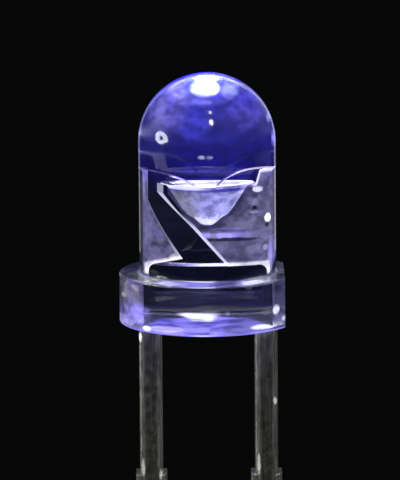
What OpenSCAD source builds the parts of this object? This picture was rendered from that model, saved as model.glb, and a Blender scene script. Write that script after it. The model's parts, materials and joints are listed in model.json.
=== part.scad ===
// Round 3 mm through-hole LED with a clear lens and two straight square leads.
// Millimetres. The origin is the centre of the flange's underside, where the lens stands off a board.
// +Z runs up the optical axis, +X points to the cathode and the flange's flat, and the lead frame
// lies in the XZ plane. The cast lens has a true cavity for each piece that is embedded in it.

/* [Lens] */
// Diameter of the round body and of its dome
body_d = 3.0; // [2.5:0.1:4]
// Height of the dome's centre above the flange's underside
dome_centre_z = 3.97; // [3.6:0.01:6]
// How far the flange stands out from the body all round
flange_lip = 0.45; // [0.3:0.05:0.8]
// Thickness of the flange
flange_h = 1.1; // [0.8:0.05:1.2]
// Fillet where the body rises from the flange
root_fillet = 0.1; // [0.05:0.01:0.3]
// Least that the flange stands out from the body at the flat that marks the cathode
flat_lip = 0.17; // [0.1:0.01:0.3]
// Least resin left between the cathode lead and that flat
flat_cover = 0.12; // [0.05:0.01:0.3]
// Resin left between the round body's wall and the heads of the lead frame
head_cover = 0.2; // [0.1:0.01:0.3]

/* [Leads] */
// Distance between the centres of the two leads
lead_pitch = 2.54; // [2.2:0.01:3.1]
// Width of each lead along X
lead_w = 0.5; // [0.4:0.01:0.6]
// Thickness of the whole stamped lead frame along Y
frame_t = 0.5; // [0.4:0.01:0.6]
// Length of the cathode lead below the flange
cathode_len = 25.4; // [10:0.1:30]
// Extra length of the anode lead, which marks it as the longer one
anode_extra = 1.6; // [0.5:0.1:4]
// Distance from the flange's underside down to the cropped tie bar
tie_drop = 3.4; // [2:0.1:6]
// Height of the cropped tie bar left on each lead
tie_h = 1.0; // [0.5:0.1:1.5]
// How far the cropped tie bar stands out from each side of a lead
tie_out = 0.09; // [0.05:0.01:0.2]

/* [Heads inside the lens] */
// Height of the lower edge of both heads
head_low_z = 1.3; // [1.15:0.01:1.6]
// Height of the top of the cathode's anvil, level with the cup's rim
anvil_top_z = 3.09; // [2.7:0.01:3.6]
// Height of the two bonding ledges above the anvil's top: the post's and the anvil's ear
ledge_rise = 0.3; // [0.1:0.01:0.5]
// Distance from the cup's rim out to the anvil's ear
ear_step = 0.1; // [0.05:0.01:0.2]
// How much further out the ear's inner edge is at its top
ear_lean = 0.08; // [0:0.01:0.15]
// Inner edge of the anvil at its lower end, from the axis
anvil_low_x = 0.3; // [0.1:0.01:0.5]
// Flat plate left between the cup's rim and the anvil's upper corner
anvil_rim = 0.02; // [0.02:0.01:0.1]
// Height of the short upright edge under that corner
anvil_edge_h = 0.2; // [0.1:0.01:0.4]
// Height where the cathode's head is pressed thinner, up to its top
coin_z = 1.95; // [1.6:0.01:2.1]
// How deep it is pressed on each face
coin_deep = 0.03; // [0.01:0.01:0.06]
// Height of the slope between the two thicknesses
coin_slope = 0.09; // [0.03:0.01:0.12]
// Gap between the post and the anvil at their lower ends, along X
low_gap = 0.68; // [0.3:0.01:0.8]
// Width of the post at its top
post_top_w = 0.26; // [0.2:0.01:0.4]
// Distance from the post's top down to where its inner edge starts to slant
post_elbow_drop = 0.64; // [0.2:0.01:1]
// How far the post's lower inner corner is lifted above its outer end
post_low_rise = 0.17; // [0:0.01:0.2]
// Width of the neck between each head and its lead
neck_w = 0.26; // [0.2:0.01:0.4]
// Radius in the inner corner under each head
neck_fillet = 0.18; // [0.05:0.01:0.2]

/* [Reflector cup] */
// Outer diameter of the cup's boss at its rim
cup_outer_d = 1.32; // [1.1:0.01:1.5]
// Height of the boss, from its rim down to its small lower end
boss_h = 0.85; // [0.7:0.01:1]
// Diameter of the boss at its lower end, a little more than the plate's thickness
boss_low_d = 0.54; // [0.4:0.01:0.6]
// Inner diameter of the cup at its rim
cup_top_d = 1.06; // [0.9:0.01:1.2]
// Inner diameter of the cup at its floor
cup_floor_d = 0.6; // [0.5:0.01:0.75]
// Depth of the cup
cup_depth = 0.36; // [0.25:0.01:0.45]

/* [Chip and bonds] */
// Side of the square chip
chip_w = 0.3; // [0.2:0.01:0.36]
// Thickness of the chip
chip_h = 0.1; // [0.08:0.01:0.15]
// Thickness of the adhesive under the chip
attach_h = 0.02; // [0.01:0.005:0.04]
// How far the adhesive spreads past the chip's corners
attach_spread = 0.03; // [0.01:0.005:0.05]
// Diameter of a contact pad on the chip
pad_d = 0.09; // [0.06:0.005:0.11]
// Thickness of a contact pad
pad_h = 0.01; // [0.005:0.001:0.02]
// Distance of each pad's centre from the chip's edge
pad_inset = 0.07; // [0.06:0.005:0.1]
// Diameter of the bond wires
wire_d = 0.04; // [0.02:0.005:0.05]
// Diameter of the ball at the chip end of a bond wire
ball_d = 0.08; // [0.06:0.005:0.09]
// Height of that ball
ball_h = 0.03; // [0.02:0.005:0.04]
// Extra height of the anode wire's loop halfway along it
anode_arch = 0.11; // [0.05:0.01:0.3]
// Extra height of the cathode wire's loop halfway along it
cathode_arch = 0.2; // [0.05:0.01:0.3]
// Length of the flattened stitch where a bond wire ends
stitch_l = 0.1; // [0.06:0.01:0.15]
// Width of that stitch
stitch_w = 0.06; // [0.05:0.01:0.08]

/* [Hidden] */
$fn = 64;

// Lens
body_r = body_d / 2;
flange_r = body_r + flange_lip;
lead_x = lead_pitch / 2;
flat_x = max(body_r + flat_lip, lead_x + lead_w / 2 + flat_cover);
past = 1;

// Heads: both stop short of the round wall by the resin's cover
head_x = sqrt(pow(body_r - head_cover, 2) - pow(frame_t / 2, 2));
lead_in_x = lead_x - lead_w / 2;
lead_out_x = lead_x + lead_w / 2;
neck_z = flange_h - head_cover;
neck_in_x = head_x - neck_w;
ledge_z = anvil_top_z + ledge_rise;
anvil_high_x = -cup_outer_d / 2 - anvil_rim;
ear_low_x = cup_outer_d / 2 + ear_step;
ear_high_x = ear_low_x + ear_lean;
post_low_x = anvil_low_x - low_gap;
post_top_x = post_top_w - head_x;
corner_overlap = 0.05;

// Cup and the stack on its floor
cup_floor_z = anvil_top_z - cup_depth;
attach_d = norm([chip_w, chip_w]) + 2 * attach_spread;
chip_z = cup_floor_z + attach_h;
pad_z = chip_z + chip_h;
ball_z = pad_z + pad_h;
pad_x = chip_w / 2 - pad_inset;

// Bond wires: each leaves its ball upright, arches over and lands flat on a ledge
wire_sides = 8;
wire_steps = 14;
wire_r = wire_d / 2;
loop_start_z = ball_z + ball_h / 2;
loop_end_z = ledge_z + wire_r;
post_land_x = (post_top_x - head_x) / 2;
ear_land_x = (ear_high_x + head_x) / 2;

module stamped() {
    // A flat outline stood up in the XZ plane, as thick as the lead frame
    rotate([90, 0, 0])
        linear_extrude(height = frame_t, center = true)
            children();
}

module neck_corner(side, slant) {
    // Fills the inner corner under a head with an arc that touches the neck and the head's lower
    // edge, which slants up by the given angle. It reaches into both, so that they are one piece
    centre_z = head_low_z + neck_fillet * (tan(slant) - 1 / cos(slant));
    reach = neck_fillet + corner_overlap;
    mirror([side < 0 ? 1 : 0, 0])
        translate([neck_in_x - neck_fillet, centre_z])
            difference() {
                polygon([
                    [0, 0],
                    [reach, 0],
                    [reach, reach],
                    [reach * sin(slant), reach * cos(slant)]
                ]);
                circle(r = neck_fillet);
            }
}

module lead_bar(side, len) {
    // One square lead from its tip to its neck inside the flange, with the cropped tie bar
    x = side * lead_x;
    translate([x - lead_w / 2, -frame_t / 2, -len])
        cube([lead_w, frame_t, len + neck_z]);
    translate([x - lead_w / 2 - tie_out, -frame_t / 2, -tie_drop - tie_h])
        cube([lead_w + 2 * tie_out, frame_t, tie_h]);
}

module pressed_thickness() {
    // The head's thickness seen from the side: pressed thinner above a short slope
    thick = frame_t / 2;
    thin = thick - coin_deep;
    half = [
        [thick, 0],
        [thick, coin_z],
        [thin, coin_z + coin_slope],
        [thin, ledge_z + past]
    ];
    rotate([90, 0, 90])
        linear_extrude(height = 2 * body_d, center = true)
            polygon(concat(half, [for (i = [3 : -1 : 0]) [-half[i][0], half[i][1]]]));
}

module cathode_shape() {
    lead_bar(1, cathode_len);
    intersection() {
        stamped() {
            polygon([
                [lead_out_x, neck_z],
                [head_x, flange_h],
                [head_x, ledge_z],
                [ear_high_x, ledge_z],
                [ear_low_x, anvil_top_z],
                [anvil_high_x, anvil_top_z],
                [anvil_high_x, anvil_top_z - anvil_edge_h],
                [anvil_low_x, head_low_z],
                [neck_in_x, head_low_z],
                [neck_in_x, flange_h],
                [lead_in_x, neck_z]
            ]);
            neck_corner(1, 0);
        }
        pressed_thickness();
    }
    translate([0, 0, anvil_top_z - boss_h])
        cylinder(h = boss_h, d1 = boss_low_d, d2 = cup_outer_d);
}

module cup_hollow() {
    translate([0, 0, cup_floor_z])
        cylinder(h = cup_depth, d1 = cup_floor_d, d2 = cup_top_d);
}

module anode_shape() {
    lead_bar(-1, cathode_len + anode_extra);
    stamped() {
        polygon([
            [-lead_out_x, neck_z],
            [-lead_in_x, neck_z],
            [-neck_in_x, flange_h],
            [-neck_in_x, head_low_z],
            [post_low_x, head_low_z + post_low_rise],
            [post_top_x, ledge_z - post_elbow_drop],
            [post_top_x, ledge_z],
            [-head_x, ledge_z],
            [-head_x, flange_h]
        ]);
        neck_corner(-1, atan2(post_low_rise, neck_in_x + post_low_x));
    }
}

module chip_shape() {
    translate([-chip_w / 2, -chip_w / 2, chip_z])
        cube([chip_w, chip_w, chip_h]);
}

module attach_shape() {
    translate([0, 0, cup_floor_z])
        cylinder(h = attach_h, d = attach_d);
}

module pad_shape(side) {
    translate([side * pad_x, 0, pad_z])
        cylinder(h = pad_h, d = pad_d);
}

// A point on the loop's centre line, t of the way along: upright at the ball, shallow at the ledge
function loop_point(x0, x1, arch, t) = [
    x0 + (x1 - x0) * pow(t, 1.5),
    loop_start_z + (loop_end_z - loop_start_z) * t + arch * sin(180 * t)
];

// The unit vector across the wire there, in the plane of the lead frame
function loop_across(x0, x1, arch, t) =
    let (run = 1.5 * (x1 - x0) * sqrt(t),
        rise = loop_end_z - loop_start_z + arch * PI * cos(180 * t),
        len = norm([run, rise]))
    [-rise / len, run / len];

module bond_loop(x0, x1, arch) {
    points = [for (i = [0 : wire_steps])
        let (t = i / wire_steps, p = loop_point(x0, x1, arch, t), n = loop_across(x0, x1, arch, t))
        for (k = [0 : wire_sides - 1])
            let (a = (k + 0.5) * 360 / wire_sides)
            [p[0] + n[0] * wire_r * cos(a), wire_r * sin(a), p[1] + n[1] * wire_r * cos(a)]];
    sides = [for (i = [0 : wire_steps - 1], k = [0 : wire_sides - 1])
        let (j = (k + 1) % wire_sides, a = i * wire_sides, b = a + wire_sides)
        [a + k, a + j, b + j, b + k]];
    first = [for (k = [0 : wire_sides - 1]) wire_sides - 1 - k];
    last = [for (k = [0 : wire_sides - 1]) wire_steps * wire_sides + k];
    polyhedron(points = points, faces = concat([first, last], sides), convexity = 4);
}

module bond_wire(side, land_x, arch) {
    // Ball on the pad, loop, and the stitch that is pressed onto the ledge
    translate([side * pad_x, 0, ball_z])
        cylinder(h = ball_h, d = ball_d);
    bond_loop(side * pad_x, land_x, arch);
    translate([land_x - stitch_l / 2, -stitch_w / 2, ledge_z])
        cube([stitch_l, stitch_w, wire_r]);
}

module epoxy_profile() {
    // Half section of the lens to the right of its axis, with true arcs
    intersection() {
        union() {
            square([body_r, dome_centre_z]);
            square([flange_r, flange_h]);
            translate([0, dome_centre_z])
                circle(r = body_r);
            difference() {
                translate([0, flange_h])
                    square([body_r + root_fillet, root_fillet]);
                translate([body_r + root_fillet, flange_h + root_fillet])
                    circle(r = root_fillet);
            }
        }
        square([flange_r + past, dome_centre_z + body_r + past]);
    }
}

module epoxy_lens() {
    color([0.62, 0.64, 0.92, 0.4])
        difference() {
            rotate_extrude()
                epoxy_profile();
            translate([flat_x, -flange_r, -past])
                cube([flange_r, 2 * flange_r, past + flange_h + root_fillet]);
            difference() {
                cathode_shape();
                cup_hollow();
            }
            anode_shape();
            attach_shape();
            chip_shape();
            pad_shape(-1);
            pad_shape(1);
            bond_wire(-1, post_land_x, anode_arch);
            bond_wire(1, ear_land_x, cathode_arch);
        }
}

module cathode_lead() {
    color([0.72, 0.72, 0.74])
        difference() {
            cathode_shape();
            cup_hollow();
        }
}

module anode_lead() {
    color([0.72, 0.72, 0.74])
        anode_shape();
}

module led_chip() {
    color([0.55, 0.62, 0.95])
        chip_shape();
}

module die_attach() {
    color([0.85, 0.86, 0.8])
        attach_shape();
}

module p_contact() {
    color([0.9, 0.72, 0.3])
        pad_shape(-1);
}

module n_contact() {
    color([0.9, 0.72, 0.3])
        pad_shape(1);
}

module anode_bond_wire() {
    color([0.95, 0.8, 0.45])
        bond_wire(-1, post_land_x, anode_arch);
}

module cathode_bond_wire() {
    color([0.95, 0.8, 0.45])
        bond_wire(1, ear_land_x, cathode_arch);
}

epoxy_lens();
cathode_lead();
anode_lead();
led_chip();
die_attach();
p_contact();
n_contact();
anode_bond_wire();
cathode_bond_wire();
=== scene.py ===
# %% [markdown]
# # A lit three-millimetre LED
# The object is a clear epoxy casting around a stamped metal frame, with a lit chip in a small cup.
# Every piece of it exists in the CAD frame already. This lesson makes a finer mesh of each one
# and gives it a finish. The pieces' places and sizes are measured on that frame. The patches of
# painted light and painted shade are not: they are given in tables that can be changed.

# %% Tools and an empty table
import contextlib
import json
import math

import bmesh
import bpy
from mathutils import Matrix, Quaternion, Vector

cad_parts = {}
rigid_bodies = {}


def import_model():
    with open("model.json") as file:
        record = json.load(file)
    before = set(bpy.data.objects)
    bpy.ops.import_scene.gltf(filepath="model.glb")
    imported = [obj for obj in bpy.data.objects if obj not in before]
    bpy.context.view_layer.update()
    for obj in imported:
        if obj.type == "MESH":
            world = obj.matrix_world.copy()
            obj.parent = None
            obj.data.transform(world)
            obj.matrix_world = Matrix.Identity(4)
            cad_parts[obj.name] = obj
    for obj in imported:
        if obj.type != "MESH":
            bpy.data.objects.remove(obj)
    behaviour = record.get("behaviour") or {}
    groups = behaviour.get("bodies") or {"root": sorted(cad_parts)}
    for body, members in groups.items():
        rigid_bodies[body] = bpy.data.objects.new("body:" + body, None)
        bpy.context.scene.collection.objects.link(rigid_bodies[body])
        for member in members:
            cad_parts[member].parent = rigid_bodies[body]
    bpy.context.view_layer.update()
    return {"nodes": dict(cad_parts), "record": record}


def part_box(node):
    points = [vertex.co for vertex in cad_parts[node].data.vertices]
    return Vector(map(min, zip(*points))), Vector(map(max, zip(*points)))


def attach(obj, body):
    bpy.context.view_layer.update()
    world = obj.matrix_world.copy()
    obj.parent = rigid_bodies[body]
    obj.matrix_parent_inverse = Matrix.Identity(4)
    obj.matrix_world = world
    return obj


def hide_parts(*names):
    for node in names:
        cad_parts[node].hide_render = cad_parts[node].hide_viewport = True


for leftover in list(bpy.data.objects):
    bpy.data.objects.remove(leftover)
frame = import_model()
print("nodes:", sorted(frame["nodes"]))

# %% [markdown]
# ## Measuring the frame
# Blender works in metres and this object in tenths of a millimetre, so one value, MM, turns one
# into the other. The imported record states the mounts, which give the round body's radius and the
# flange's thickness. The rest is read from the nodes' own corner points.

# %% The driving sizes
MM = 0.001
HAIR = 0.005 * MM
mounts = {mount["name"]: mount for mount in frame["record"]["mounts"]}
body_r = mounts["lens_barrel"]["dims"]["r_mm"] * MM
flange_h = mounts["flange_shoulder"]["pos_m"][2]
lens_low, lens_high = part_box("epoxy_lens")
flat_x = lens_high.x
flange_r = -lens_low.x
dome_z = lens_high.z - body_r


def points_of(node):
    """The corner points of a CAD node, which sits at the origin, in metres."""
    return [vertex.co.copy() for vertex in frame["nodes"][node].data.vertices]


def flat_radius(point):
    """Distance from the lens's axis."""
    return math.hypot(point.x, point.y)


barrel_points = [
    point.z for point in points_of("epoxy_lens")
    if abs(flat_radius(point) - body_r) < HAIR and point.z > flange_h + HAIR
]
fillet_r = min(barrel_points) - flange_h
print("body", body_r / MM, "flange", flange_r / MM, flange_h / MM, "flat", flat_x / MM)
print("dome centre", dome_z / MM, "root fillet", fillet_r / MM)

# %% The frame's own sizes
def near(value, target):
    return abs(value - target) < HAIR


cathode_points = points_of("cathode_lead")
lead_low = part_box("cathode_lead")[0].z
lead_points = [point for point in cathode_points if point.z < lead_low + MM]
lead_in = min(point.x for point in lead_points)
lead_out = max(point.x for point in lead_points)
lead_x = (lead_in + lead_out) / 2
metal_half = max(point.y for point in lead_points)
tip_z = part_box("anode_lead")[0].z
ear_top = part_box("cathode_lead")[1].z
head_x = max(point.x for point in cathode_points if point.z > ear_top - HAIR)
head_half = max(point.y for point in cathode_points if near(point.z, ear_top))
shoulder = [point for point in cathode_points if near(point.x, head_x)]
coin_low = max(point.z for point in shoulder if near(abs(point.y), metal_half))
coin_high = min(point.z for point in shoulder if near(abs(point.y), head_half))
print("lead", lead_in / MM, lead_out / MM, "half thickness", metal_half / MM, "tips", tip_z / MM)
print("head", head_x / MM, head_half / MM, "pressed above", coin_low / MM, coin_high / MM)

# %% The reflector cup's sizes
cup_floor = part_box("die_attach")[0].z
boss_points = [point for point in cathode_points if abs(point.y) > metal_half + HAIR]
anvil_top = max(point.z for point in boss_points)
boss_r = max(flat_radius(point) for point in boss_points)
boss_low = min(point.z for point in boss_points)
boss_low_r = max(flat_radius(point) for point in boss_points if near(point.z, boss_low))
cup_top_r = min(flat_radius(point) for point in cathode_points if near(point.z, anvil_top))
cup_floor_r = max(
    flat_radius(point) for point in cathode_points
    if near(point.z, cup_floor) and flat_radius(point) < cup_top_r
)
print("anvil top", anvil_top / MM, "boss", boss_r / MM, "down to", boss_low / MM, boss_low_r / MM)
print("cup", cup_top_r / MM, "floor", cup_floor / MM, cup_floor_r / MM)

# %% [markdown]
# ## Shader maths that reads like maths
# A finish is a tree of nodes, and a long one is hard to read as a list of links. So one small
# class stands for a socket and knows + - * / and abs, and one method makes any other node.


# %% A socket that can be calculated with
class Field:
    """A value that varies over a surface: one output of one node."""

    def __init__(self, finish, socket):
        self.finish = finish
        self.socket = socket

    def maths(self, operation, first, second=0.0):
        return self.finish.node("ShaderNodeMath", {"operation": operation}, {0: first, 1: second})

    def __add__(self, other):
        return self.maths("ADD", self, other)

    def __radd__(self, other):
        return self.maths("ADD", other, self)

    def __sub__(self, other):
        return self.maths("SUBTRACT", self, other)

    def __rsub__(self, other):
        return self.maths("SUBTRACT", other, self)

    def __mul__(self, other):
        return self.maths("MULTIPLY", self, other)

    def __rmul__(self, other):
        return self.maths("MULTIPLY", other, self)

    def __truediv__(self, other):
        return self.maths("DIVIDE", self, other)

    def __abs__(self):
        return self.maths("ABSOLUTE", self)


# %% A finish: one material and the ways to fill it
class Finish:
    """A material made of nodes."""

    def __init__(self, name):
        self.material = bpy.data.materials.new(name)
        self.material.use_nodes = True
        self.tree = self.material.node_tree
        self.tree.nodes.clear()
        self.millimetres = None

    def node(self, kind, settings=None, sockets=None, output=0):
        """Makes a node: its settings first, then the values or links of its sockets."""
        made = self.tree.nodes.new(kind)
        for key, value in (settings or {}).items():
            if key == "stops":
                self.set_stops(made.color_ramp, value)
            else:
                setattr(made, key, value)
        for key, value in (sockets or {}).items():
            if isinstance(value, Field):
                self.tree.links.new(value.socket, made.inputs[key])
            else:
                made.inputs[key].default_value = value
        return Field(self, made.outputs[output])

    def set_stops(self, ramp, stops):
        while len(ramp.elements) < len(stops):
            ramp.elements.new(0.5)
        for element, (position, colour) in zip(ramp.elements, stops):
            element.position = position
            element.color = (*colour, 1.0)

    def place(self):
        """Where a point of the surface is, in millimetres in the object's own frame."""
        if self.millimetres is None:
            where = self.node("ShaderNodeTexCoord", output="Object")
            self.millimetres = self.node(
                "ShaderNodeVectorMath", {"operation": "SCALE"}, {0: where, "Scale": 1 / MM})
        return self.millimetres

    def part(self, vector, axis):
        return self.node("ShaderNodeSeparateXYZ", {}, {0: vector}, axis)

    def facing(self, axis):
        """How far the surface itself looks along an axis, from -1 to 1."""
        return self.part(self.node("ShaderNodeNewGeometry", output="True Normal"), axis)

    def between(self, value, low, high):
        """0 at low, 1 at high, and smooth in between."""
        return self.node(
            "ShaderNodeMapRange", {"interpolation_type": "SMOOTHSTEP"},
            {"Value": value, "From Min": low, "From Max": high})

    def noise(self, scale, detail=3.0, stretch=(1, 1, 1), shift=0.0):
        """Cloudy noise. Scale counts lumps in a millimetre, and stretch is per axis."""
        spot = self.node(
            "ShaderNodeMapping", {}, {"Vector": self.place(), "Scale": stretch,
                                      "Location": (shift, shift, shift)})
        return self.node(
            "ShaderNodeTexNoise", {}, {"Vector": spot, "Scale": scale, "Detail": detail})

    def mix(self, factor, first, second):
        """A colour between two colours."""
        settings = {"data_type": "RGBA", "clamp_factor": True}
        pair = [c if isinstance(c, Field) else (*c, 1.0) for c in (first, second)]
        return self.node("ShaderNodeMix", settings, {0: factor, 6: pair[0], 7: pair[1]}, 2)

    def tint(self, colour, strength):
        """A colour made brighter or darker by a number that varies."""
        return self.node(
            "ShaderNodeVectorMath", {"operation": "SCALE"}, {0: colour, "Scale": strength})

    def sum(self, first, *others):
        total = first
        for other in others:
            total = self.node("ShaderNodeVectorMath", {"operation": "ADD"}, {0: total, 1: other})
        return total

    def add(self, light, colour, strength):
        """The light with a tinted one on top."""
        return self.sum(light, self.tint(colour, strength))

    def off_axis(self, place):
        """Distance from the upright axis."""
        level = self.node(
            "ShaderNodeVectorMath", {"operation": "MULTIPLY"}, {0: place, 1: (1, 1, 0)})
        return self.node("ShaderNodeVectorMath", {"operation": "LENGTH"}, {0: level}, "Value")

    def oval(self, across, height, centre, reach):
        """How far a point is from an oval's centre: 0 there and 1 on its rim, squared."""
        from_x = (across - centre[0]) / reach[0]
        from_z = (height - centre[1]) / reach[1]
        return from_x * from_x + from_z * from_z

    def ramp(self, value, stops):
        return self.node("ShaderNodeValToRGB", {"stops": stops}, {0: value})

    def bump(self, height, strength, distance):
        return self.node(
            "ShaderNodeBump", {}, {"Height": height, "Strength": strength, "Distance": distance})

    def principled(self, sockets):
        return self.node("ShaderNodeBsdfPrincipled", {}, {"Emission Strength": 1.0, **sockets})

    def end(self, shader):
        out = self.tree.nodes.new("ShaderNodeOutputMaterial")
        self.tree.links.new(shader.socket, out.inputs["Surface"])
        print("finish", self.material.name, len(self.tree.nodes), "nodes")
        return self.material


# %% [markdown]
# ## Three ways to make a mesh
# Round pieces are turned on a lathe: a half outline goes round the axis. Wire is swept: a ring of
# points follows a centre line and may swell or flatten on the way. Stamped pieces are a stack of
# the outline of their CAD node, set in ring by ring where a press rolls the edges over.


# %% From points and faces to a piece
SAME_POINT = HAIR / 50
CLEAR_EDGE = 40


@contextlib.contextmanager
def edited(mesh):
    """The mesh as a shape that can be changed, written back afterwards."""
    shape = bmesh.new()
    shape.from_mesh(mesh)
    yield shape
    shape.to_mesh(mesh)
    shape.free()


def smooth_up_to(shape, angle):
    """Marks every edge as smooth where its faces meet at less than an angle in degrees."""
    for edge in shape.edges:
        edge.smooth = edge.calc_face_angle(0) < math.radians(angle)


def smooth_all(shape, angle):
    for face in shape.faces:
        face.smooth = True
    smooth_up_to(shape, angle)


def cut_level(shape, place, way, **options):
    """Cuts a shape along a plane and gives what the cut made."""
    everything = list(shape.verts) + list(shape.edges) + list(shape.faces)
    return bmesh.ops.bisect_plane(
        shape, geom=everything, plane_co=place, plane_no=way, dist=SAME_POINT, **options)


def piece_from(name, points, faces, smooth_angle=CLEAR_EDGE):
    """Makes a piece and puts it in the scene, smooth except at clear edges."""
    mesh = bpy.data.meshes.new(name)
    mesh.from_pydata([tuple(point) for point in points], [], faces)
    with edited(mesh) as shape:
        bmesh.ops.remove_doubles(shape, verts=shape.verts, dist=SAME_POINT)
        bmesh.ops.recalc_face_normals(shape, faces=shape.faces)
    piece = bpy.data.objects.new(name, mesh)
    bpy.context.scene.collection.objects.link(piece)
    with edited(mesh) as shape:
        smooth_all(shape, smooth_angle)
    return piece


# %% Giving a piece its finish
def finish_piece(piece, slot, material, *nodes):
    """Gives a piece its material and says what it stands for."""
    piece.data.materials.clear()
    piece.data.materials.append(material)
    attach(piece, "root")
    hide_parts(*nodes)
    print(piece.name, len(piece.data.polygons), "faces, stands for", nodes)


# %% The lathe
def arc(centre_r, centre_z, radius, start, end, steps):
    """Points of a round stretch of a half outline. Angles are in degrees from the outward side."""
    angles = [math.radians(start + (end - start) * step / steps) for step in range(steps + 1)]
    return [(centre_r + radius * math.cos(a), centre_z + radius * math.sin(a)) for a in angles]


def lathe(outline, sides, centre=Vector((0, 0, 0))):
    """Points and faces of a half outline turned round an upright axis."""
    points = []
    for radius, height in outline:
        for side in range(sides):
            angle = 2 * math.pi * side / sides
            place = Vector((radius * math.cos(angle), radius * math.sin(angle), height))
            points.append(centre + place)
    faces = []
    for ring in range(len(outline) - 1):
        for side in range(sides):
            following = (side + 1) % sides
            low, high = ring * sides, (ring + 1) * sides
            faces.append((low + side, low + following, high + following, high + side))
    return points, faces


# %% A stack of rings
def stack_rings(rings):
    """Closes a stack of equal rings into a solid."""
    points = [point for ring in rings for point in ring]
    count = len(rings[0])
    faces = [tuple(range(count))[::-1]]
    for level in range(len(rings) - 1):
        for step in range(count):
            following = (step + 1) % count
            low, high = level * count, (level + 1) * count
            faces.append((low + step, low + following, high + following, high + step))
    faces.append(tuple(range((len(rings) - 1) * count, len(rings) * count)))
    return points, faces


# %% [markdown]
# ## The clear casting
# The real lens is one drop of epoxy, cast upside down in a polished cup mould around the metal
# frame. The mould makes the dome, the barrel and the flange glossy. The underside was the open
# face of the mould, so it is dull, sinks a little, and climbs the two leads in small menisci.
# It could have a cavity for each piece, as the CAD solid does. One solid needs no second surface
# that follows each piece, and the metal simply stands inside it.

# %% The half outline of the casting
RIM_ROUND = 0.05 * MM
SUPPORT = 0.012 * MM
UNDERSIDE_RINGS = 44
MENISCUS_RISE = 0.09 * MM
MENISCUS_REACH = 0.11 * MM
SINK = 0.03 * MM


def outside_lead(x, y):
    """Distance from the nearer lead's faces, on the underside."""
    gap_x = abs(abs(x) - lead_x) - (lead_out - lead_in) / 2
    gap_y = abs(y) - metal_half
    return math.hypot(max(gap_x, 0), max(gap_y, 0))


def underside_z(x, y):
    """The open face of the casting: it sinks a little and climbs the leads."""
    radius = math.hypot(x, y) / flange_r
    bowl = SINK * math.cos(min(radius, 1) * math.pi / 2)
    climb = MENISCUS_RISE * math.exp(-((outside_lead(x, y) / MENISCUS_REACH) ** 1.4))
    return bowl - climb


# %% The casting as a whole outline
def casting_outline():
    """From the middle of the underside, out round the flange, up the barrel and over the dome.

    A smooth surface bends its shading over the last step before an edge. A narrow support ring
    beside each rounded edge keeps that bend off the long straight walls."""
    rings = [(flange_r - RIM_ROUND) * step / UNDERSIDE_RINGS for step in range(UNDERSIDE_RINGS + 1)]
    outline = [(radius, 0.0) for radius in rings]
    outline += arc(flange_r - RIM_ROUND, RIM_ROUND, RIM_ROUND, -90, 0, 6)[1:]
    outline.append((flange_r, RIM_ROUND + SUPPORT))
    outline.append((flange_r, flange_h - RIM_ROUND - SUPPORT))
    outline += arc(flange_r - RIM_ROUND, flange_h - RIM_ROUND, RIM_ROUND, 0, 90, 6)
    outline.append((flange_r - RIM_ROUND - SUPPORT, flange_h))
    outline.append((body_r + fillet_r + SUPPORT, flange_h))
    outline += arc(body_r + fillet_r, flange_h + fillet_r, fillet_r, -90, -180, 10)
    wall_low = flange_h + fillet_r
    outline.append((body_r, wall_low + SUPPORT))
    outline += [(body_r, wall_low + (dome_z - wall_low) * step / 16) for step in range(1, 16)]
    outline += arc(0, dome_z, body_r, 0, 90, 44)
    return outline


print("casting outline:", len(casting_outline()), "points")


# %% Casting it, with the flat cut off
def make_casting():
    points, faces = lathe(casting_outline(), 256)
    for point in points:
        if point.z < HAIR and flat_radius(point) < flange_r - RIM_ROUND - HAIR:
            point.z = underside_z(point.x, point.y)
    casting = piece_from("clear_casting", points, faces)
    with edited(casting.data) as shape:
        cut = cut_level(shape, (flat_x, 0, 0), (1, 0, 0), clear_outer=True)
        rim = [item for item in cut["geom_cut"] if isinstance(item, bmesh.types.BMEdge)]
        bmesh.ops.contextual_create(shape, geom=rim)
        bmesh.ops.recalc_face_normals(shape, faces=shape.faces)
        smooth_all(shape, CLEAR_EDGE)
    return casting


casting = make_casting()
print("casting:", len(casting.data.vertices), "points")

# %% [markdown]
# ## What clear, lit epoxy looks like
# Clear epoxy bends light more than water does, index 1.53. A lit chip also makes it glow, because
# a little of the light scatters on its way out. Here that glow is nearly nothing low in the
# barrel and grows through blue to the top of the dome, with paler clouds on the near side. A
# real volume could do that, and was not tried here. The skin itself emits the light by place.
# The lamps' light has to reach the metal inside, so the skin lets shadow rays through.

# %% Light in the casting's body
# Share of the casting's height, and the light's colour there.
GLOW_BY_HEIGHT = [
    (0.0, (0.002, 0.002, 0.010)),
    (0.18, (0.0006, 0.0008, 0.0050)),
    (0.54, (0.0030, 0.0028, 0.0100)),
    (0.60, (0.0022, 0.0014, 0.045)),
    (0.68, (0.003, 0.003, 0.060)),
    (0.74, (0.006, 0.006, 0.105)),
    (0.84, (0.022, 0.021, 0.170)),
    (0.95, (0.022, 0.018, 0.360)),
    (0.985, (0.014, 0.010, 0.95)),
    (1.0, (0.010, 0.006, 1.6)),
]
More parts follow.
